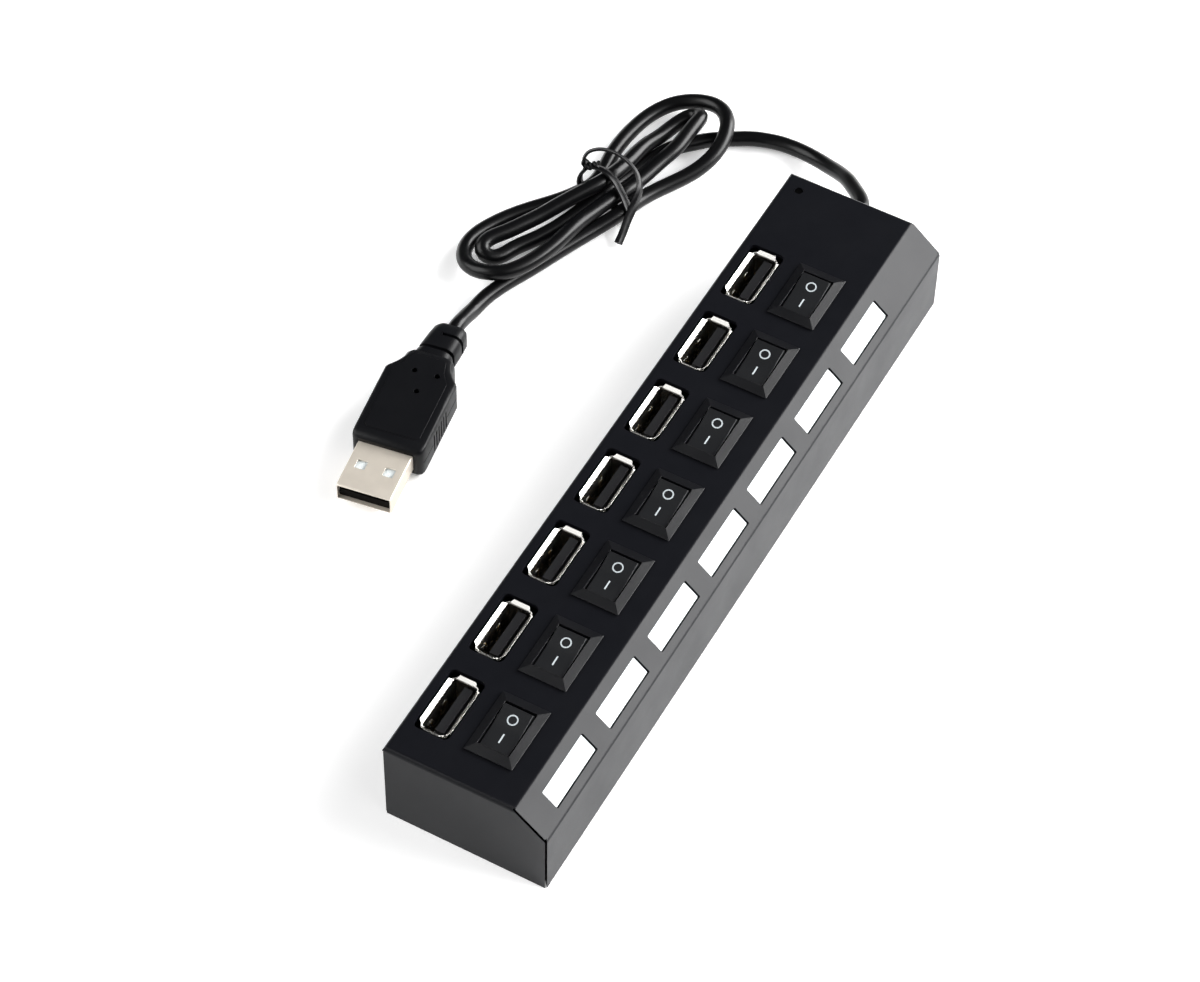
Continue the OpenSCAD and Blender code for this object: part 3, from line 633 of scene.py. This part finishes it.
def switch():
    def box(l, w, z):
        return np.array([(-l / 2, -w / 2, z), (l / 2, -w / 2, z), (l / 2, w / 2, z), (-l / 2, w / 2, z)])

    rings = [box(13.2, 8.4, 9.9), box(13.2, 8.4, HEIGHT), box(14.1, 9.5, HEIGHT),
             box(14.1, 9.5, HEIGHT + 0.22), box(15, 10.4, HEIGHT + 0.22), box(15, 10.4, HEIGHT + 0.4),
             box(10.95, 6.85, HEIGHT + 1), box(10.95, 6.85, HEIGHT - 2), box(11.4, 6.6, HEIGHT - 2.2),
             box(11.4, 6.6, 10.9)]
    ob = raw_object("switch", [loft(rings)])
    snaps = [prism([(s * 6.5, HEIGHT - 4), (s * 7.2, HEIGHT - 1.1), (s * 6.5, HEIGHT - 1.1)], 1, -2, 2)
             for s in (-1, 1)]
    carve(ob, snaps, "UNION")
    carve(ob, [cylinder(1.05, 1, -5, 5, (0, PIVOT_Z), 24)]
          + [block((s * 2.9 - 0.32, -1.42, 4.9), (s * 2.9 + 0.32, 1.42, 12.22)) for s in (-1, 1)])
    ob.data.transform(Matrix.Translation((0, SWITCH_Y * MM, 0)))
    finish_mesh(ob, BEZEL, 18, 0.13, 3, 18)
    return ob


for i, ob in zip(PORTS, repeated(switch)):
    ob.name = f"switch_bezel_{i}"
    register(ob, (f"switch_frame_{i}",))


def rocker_outline():
    r, corner, skirt = 5.46, 61, 100

    def round_end(a, b, n=10):
        t = np.radians(np.linspace(a, b, n + 1))
        return np.c_[r * np.sin(t), r * np.cos(t)]

    left = round_end(-skirt, -corner)
    right = left[::-1] * (-1, 1)
    valley = fold(left[-1], (0, 2.25), right[0], 12, 8)
    stem = [(1.3, r * math.cos(math.radians(skirt))), (1.3, -5), (-1.3, -5),
            (-1.3, r * math.cos(math.radians(skirt)))]
    return np.vstack([left, valley, right, stem])


def tilted(part):
    return moved(moved(part, turn=turn_about("Y", -TILT)), (0, SWITCH_Y, PIVOT_Z))


def rocker_piece():
    ob = raw_object("rocker", [tilted(prism(rocker_outline(), 1, -3.08, 3.08))])
    carve(ob, [tilted(cylinder(1, 1, -3.775, 3.775, (0, 0), 24))], "UNION")
    finish_mesh(ob, ROCKER, 28, 0.12, 3, 40)
    return ob


rocker_side = rocker_outline()


def mark_top(x):
    """Height of the rocker's top at x."""
    crown = rocker_side[rocker_side[:, 1] > 2.2]
    return float(np.interp(x, crown[:, 0], crown[:, 1]))


def print_ring(cx, r_out, r_in, n=40):
    a = np.linspace(0, 2 * math.pi, n, endpoint=False)
    loops = []
    for r, lift in ((r_out, -0.05), (r_out, 0.02), (r_in, 0.02), (r_in, -0.05), (r_out, -0.05)):
        x, y = cx + r * np.cos(a), r * np.sin(a)
        loops.append(np.c_[x, y, [mark_top(q) + lift for q in x]])
    return loft(loops, caps=(False, False))


def print_bar(x0, x1, half):
    a, b = mark_top(x0), mark_top(x1)
    return loft([[(x0, -half, a - 0.05), (x0, half, a - 0.05), (x0, half, a + 0.02), (x0, -half, a + 0.02)],
                 [(x1, -half, b - 0.05), (x1, half, b - 0.05), (x1, half, b + 0.02), (x1, -half, b + 0.02)]])


rockers = repeated(rocker_piece)
rings_o = repeated(lambda: raw_object("mark_off", [tilted(print_ring(2.3, 1.12, 0.84))]))
bars_i = repeated(lambda: raw_object("mark_on", [tilted(print_bar(-3.1, -0.95, 0.15))]))
for i in PORTS:
    for obs, kind in ((rockers, "rocker_cap"), (rings_o, "mark_off"), (bars_i, "mark_on")):
        ob = obs[i - 1]
        ob.name = f"{kind}_{i}"
        if kind != "rocker_cap" and i == 1:
            finish_mesh(ob, PRINT, 40)
        register(ob, (f"rocker_{i}",) if kind == "rocker_cap" else (), f"rocker_{i}")

# ---------------------------------------------------------------------------------------------
# Windows


def window():
    parts = [prism(rounded(15.1, 4.2, 0.2, 3) + (0, 4.22), 1, 0.42, 1.01),
             prism(rounded(16.4, 6.2, 0.4, 3) + (0, 4.22), 1, 1.0, 2.0),
             prism(rounded(12, 3, 0.2, 3) + (0, 4.22), 1, 1.99, 4)]
    ob = raw_object("window", [on_slant(parts[0])])
    carve(ob, [on_slant(parts[1])], "UNION")
    carve(ob, [on_slant(parts[2])], "UNION")
    finish_mesh(ob, WINDOW, 30, 0.12, 2, 35)
    return ob


for i, ob in zip(PORTS, repeated(window)):
    ob.name = f"window_lens_{i}"
    register(ob, (f"light_window_{i}",))

# ---------------------------------------------------------------------------------------------
# Gland


def lathe_x(profile, y, z, n=40):
    a = np.linspace(0, 2 * math.pi, n, endpoint=False)
    rings = [np.c_[np.full(n, x), y + r * np.cos(a), z + r * np.sin(a)] for x, r in profile]
    rings.append(rings[0])
    return loft(rings, caps=(False, False))


gland = make("gland_boot", [lathe_x([
    (82.25, 1.72), (82.25, 4.2), (82.75, 4.2), (82.75, 3.2), (83.75, 3.2), (83.75, 4.05), (83.9, 4.2),
    (84.6, 4.2), (84.75, 4.05), (84.75, 3.2), (85.5, 3.12), (85.6, 2.6), (86.1, 2.55), (86.2, 3.03),
    (87.1, 2.93), (87.2, 2.42), (87.7, 2.36), (87.8, 2.84), (88.7, 2.74), (88.8, 2.28), (89.3, 2.24),
    (89.4, 2.66), (90.45, 2.54), (90.75, 2.3), (90.75, 1.72)], 4, 10.5)],
    GLAND, ("cable_gland",), sharp=35, bevel=0.08)

# ---------------------------------------------------------------------------------------------
# Plug

PLUG_AT, PLUG_TURN, PLUG_MID = (-23.6, 58.6, 0), 9, 4.2


def at_plug(part):
    return moved(moved(part, turn=turn_about("Z", PLUG_TURN)), PLUG_AT)


def across(u, w, h, r, mid=0.0, z=PLUG_MID, n=4):
    q = rounded(w, h, r, n)
    return np.c_[np.full(len(q), u), q[:, 0] + mid, q[:, 1] + z]


body_rings = [across(u, w, h, r, -0.2, n=3) for u, w, h, r in (
    (12, 13.6, 6.4, 0.7), (12.25, 14.6, 7.2, 0.8), (12.7, 15.3, 7.8, 0.85), (13.4, 15.7, 8.1, 0.85),
    (14.6, 15.8, 8.15, 0.85), (20, 15.8, 8.15, 0.85), (26, 15.8, 8.15, 0.85),
    (31.2, 15.8, 8.15, 0.85), (31.7, 15.4, 8.1, 0.9), (33.3, 12.9, 8, 1), (34.5, 11.6, 7.9, 1.2),
    (35.4, 11, 7.8, 1.4), (36.8, 10.6, 7.7, 1.6), (37.5, 9.8, 7.4, 1.8), (37.8, 8.4, 6.6, 1.8))]
plug = raw_object("plug", [at_plug(loft(body_rings))])
panel = [(15.6, -6.2), (30.6, -6.2), (33.2, -4.6), (36.2, -3.9), (36.2, 3.6), (33.2, 4.3),
         (30.6, 5.9), (15.6, 5.9), (14.9, 5.2), (14.9, -5.5)]
carve(plug, [at_plug(prism(panel, 2, 6, 8.4))], "UNION")
carve(plug, [at_plug(block((11, -6, PLUG_MID - 2.25), (16.5, 6, PLUG_MID + 2.25)))])
side_cuts = [at_plug(block((u, s * 7.7 - 0.2 - 0.38, 1.5), (u + 0.5, s * 7.7 - 0.2 + 0.5, 6.5)))
             for s in (-1, 1) for u in (18.4, 19.7, 21, 22.3, 23.6, 24.9)]
carve(plug, side_cuts)
seam_cuts = [at_plug(block((13, s * 7.9 - 0.2 - 0.12, 4.1), (18, s * 7.9 + 0.3, 4.3))) for s in (-1, 1)]
seam_cuts += [at_plug(block((25.8, s * 7.9 - 0.2 - 0.12, 4.1), (31, s * 7.9 + 0.3, 4.3)))
              for s in (-1, 1)]
carve(plug, seam_cuts)
dimples = [cylinder(0.62, 2, 7.2, 9, (u, v), 20) for u, v in ((31.9, 1.4), (31.9, -3.6), (26.8, -1))]
carve(plug, [at_plug(d) for d in dimples])
finish_mesh(plug, PLUG_BLACK, 30, 0.12, 2, 30)
register(plug, ("plug_body",))

relief_rings = []
for u, w, h in ((37, 7.6, 6.4), (37.9, 8.1, 6.8), (39.2, 8, 6.8), (39.3, 7.9, 6.7), (39.35, 6.4, 5.4),
                (40.05, 6.4, 5.4), (40.1, 7.9, 6.7), (40.3, 8, 6.8), (43.2, 7.8, 6.7), (44.3, 7.7, 6.6),
                (46, 7.4, 6.3), (47, 6.4, 5.5), (47.4, 5, 4.4)):
    relief_rings.append(across(u, w, h, min(w, h) * 0.32, 0.1 - 1.2 * (u - 37.5) / 10, n=6))
relief = raw_object("plug_relief", [at_plug(loft(relief_rings))])
# the second groove stops short of the middle, as moulded
for y0, y1, z0, z1 in ((-7, 0, PLUG_MID + 2.6, 12), (-7, -3.8, PLUG_MID - 2, PLUG_MID + 2.7),
                       (-1, 7, -2, PLUG_MID - 2.6), (2.6, 7, PLUG_MID - 2.7, PLUG_MID + 1.5)):
    carve(relief, [at_plug(block((43.35, y0, z0), (44.1, y1, z1)))])
finish_mesh(relief, PLUG_BLACK, 35, 0.1, 2, 32)
register(relief, ())

shell = raw_object("plug_shell_box", [at_plug(loft([across(u, w, h, r) for u, w, h, r in (
    (0, 11.7, 4.2, 0.3), (0.3, 11.95, 4.45, 0.4), (0.7, 12, 4.5, 0.4), (16, 12, 4.5, 0.4))]))])
carve(shell, [at_plug(loft([across(u, w, h, r) for u, w, h, r in (
    (-1, 11.35, 3.85, 0.2), (17, 11.4, 3.9, 0.2))]))])
carve(shell, [at_plug(prism(rounded(2.2, 2.2, 0.15, 2) + (6.5, s * 3.05), 2, -1, 10)) for s in (-1, 1)])
finish_mesh(shell, PLUG_NICKEL, 30, 0.05, 2, 38)
register(shell, ("plug_shell",))

floor_z = PLUG_MID - 1.95
tongue = make("plug_tongue", [at_plug(block((0.9, -5.68, floor_z), (15.8, 5.68, floor_z + 1.95))),
                              at_plug(block((10.2, -5.68, floor_z + 1.9), (15.8, 5.68, floor_z + 3.88)))],
              INSERT, ("plug_insulator",), sharp=30, bevel=0.12)
fingers = make("plug_fingers", [at_plug(block((2.4, y - 0.5, floor_z + 1.9), (9.9, y + 0.5, floor_z + 2.12)))
                                for y in (-3.5, -1, 1, 3.5)],
               GOLD, ("plug_contacts",), sharp=30, bevel=0.05)
# latch pads under the shell's two windows, in the white window plastic: the pads are real parts, but their
# white is a painted reflection of the shiny metal latch springs
latch_pads_painted_reflection = make("plug_latch_pads", [at_plug(loft([across(5.15, 2.7, 0.3, 0.1, s * 3.05, 5.62, 1),
                                              across(8, 2.7, 0.3, 0.1, s * 3.05, 5.9, 1)]))
                                for s in (-1, 1)], WINDOW, (), sharp=35)

# ---------------------------------------------------------------------------------------------
# Tie: a flat wire-cored strip, once round the hank, with its ends twisted and one left long


def strip(route, half=0.9, thick=0.32, lies_over=None):
    """Flat strip round the hank; its last part turns to lie with its face along lies_over."""
    path = from_hank(resampled(route, 0.5))
    t = np.gradient(path, axis=0)
    t /= np.linalg.norm(t, axis=1)[:, None]
    axis_at = from_hank([(0, -1.2, 3)])[0]
    along = from_hank([(1, 0, 0)])[0] - from_hank([(0, 0, 0)])[0]
    away = path - axis_at
    away /= np.linalg.norm(away, axis=1)[:, None]
    if lies_over:
        k = np.clip((np.linspace(0, 1, len(path)) - 0.55) / 0.2, 0, 1)[:, None]
        away = away * (1 - k) + np.array(lies_over) * k
    away -= (away * t).sum(1)[:, None] * t
    away /= np.linalg.norm(away, axis=1)[:, None]
    wide = np.cross(t, away)
    shape = [(-1, -0.6), (-0.45, -0.7), (0, -1.3), (0.45, -0.7), (1, -0.6), (1, 0.6), (0.45, 0.7),
             (0, 1.3), (-0.45, 0.7), (-1, 0.6)]
    rings = [p + np.array([w * a * half + n * b * thick for a, b in shape])
             for p, w, n in zip(path, wide, away)]
    for ring in rings:
        ring[:, 2] = ring[:, 2].clip(0.02)  # it lies on the floor, never under it
    return loft(rings)


def twist(a, b, r=0.55, turns=1.6, wire=0.42):
    a, b = from_hank([a])[0], from_hank([b])[0]
    n = 40
    d = (b - a) / np.linalg.norm(b - a)
    s = np.cross(d, (0, 0, 1))
    s /= np.linalg.norm(s)
    w = np.cross(d, s)
    out = []
    for start in (0, math.pi):
        k = np.linspace(0, 1, n)
        ang = start + turns * 2 * math.pi * k
        path = a + np.outer(k, b - a) + r * (np.outer(np.cos(ang), s) + np.outer(np.sin(ang), w))
        out.append(tube(path, wire, 8))
    return out


WRAP = [(0.6, 4.4, 7.5), (1.2, 2, 8.15), (1.5, -0.6, 7.9), (1.3, -3.4, 6.3), (0.5, -6.4, 4.8),
        (0, -8.35, 2.9), (0.1, -7.8, 1), (0.5, -5, 0.42), (0.5, 0, 0.42), (0, 4, 0.42), (-1, 5.7, 1.2),
        (-1.5, 6, 3), (-1.4, 5.9, 5.2), (-0.4, 5.2, 7)]
LONG_END = [(-0.1, 5.2, 7.6), (-0.3, 6.1, 9), (0.9, 6.2, 10.2), (2.6, 5.2, 10.8), (4.4, 2.8, 10.9),
            (5.7, -0.6, 9.9), (5.8, -4, 8.4), (4.4, -6.4, 6.8), (1.8, -7.8, 5), (-1.6, -9.1, 3),
            (-4.2, -10.3, 1.6), (-6.3, -11.2, 0.9)]
tie = make("cord_twist_tie", [strip(WRAP), strip(LONG_END, lies_over=(-0.55, -0.3, 0.78))] + twist((-0.6, 5.7, 7.3), (1.5, 3.3, 8.3)),
           TIE, ("cord_tie",), sharp=40)

# ---------------------------------------------------------------------------------------------
# Floor and lights

floor_mat = material("floor", (0.93, 0.93, 0.93), 0.7, tint=0.01, spread=0.05)
bpy.ops.mesh.primitive_plane_add(size=8, location=(0, 0, -0.0001))
floor = bpy.context.object
floor.name = "floor"
glow = floor_mat.node_tree.nodes["Principled BSDF"]
glow.inputs["Emission Color"].default_value = (1, 1, 1, 1)
glow.inputs["Emission Strength"].default_value = 0.25
floor.data.materials.append(floor_mat)

bpy.context.scene.view_settings.view_transform = "Standard"
world = bpy.data.worlds.new("studio")
bpy.context.scene.world = world
world.use_nodes = True
world.node_tree.nodes["Background"].inputs["Color"].default_value = (1, 1, 1, 1)
world.node_tree.nodes["Background"].inputs["Strength"].default_value = 0.03


def area_light(name, place, target, size, power):
    data = bpy.data.lights.new(name, "AREA")
    data.shape = "RECTANGLE"
    data.size, data.size_y = size
    data.energy = power
    ob = bpy.data.objects.new(name, data)
    ob.location = place
    ob.rotation_euler = (Vector(target) - Vector(place)).to_track_quat("-Z", "Y").to_euler()
    bpy.context.scene.collection.objects.link(ob)


area_light("side", (1.05, -1.2, 0.72), (0, 0, 0), (2.2, 1.15), 124)
area_light("over_side", (0.1, -1.4, 1.5), (0, 0, 0), (2.0, 1.2), 10)
area_light("left", (-0.75, 1.4, 1.2), (0, 0, 0), (1.6, 1.6), 40)
area_light("front", (-1.8, 0.45, 1.1), (0, 0, 0), (1.4, 1.0), 5)
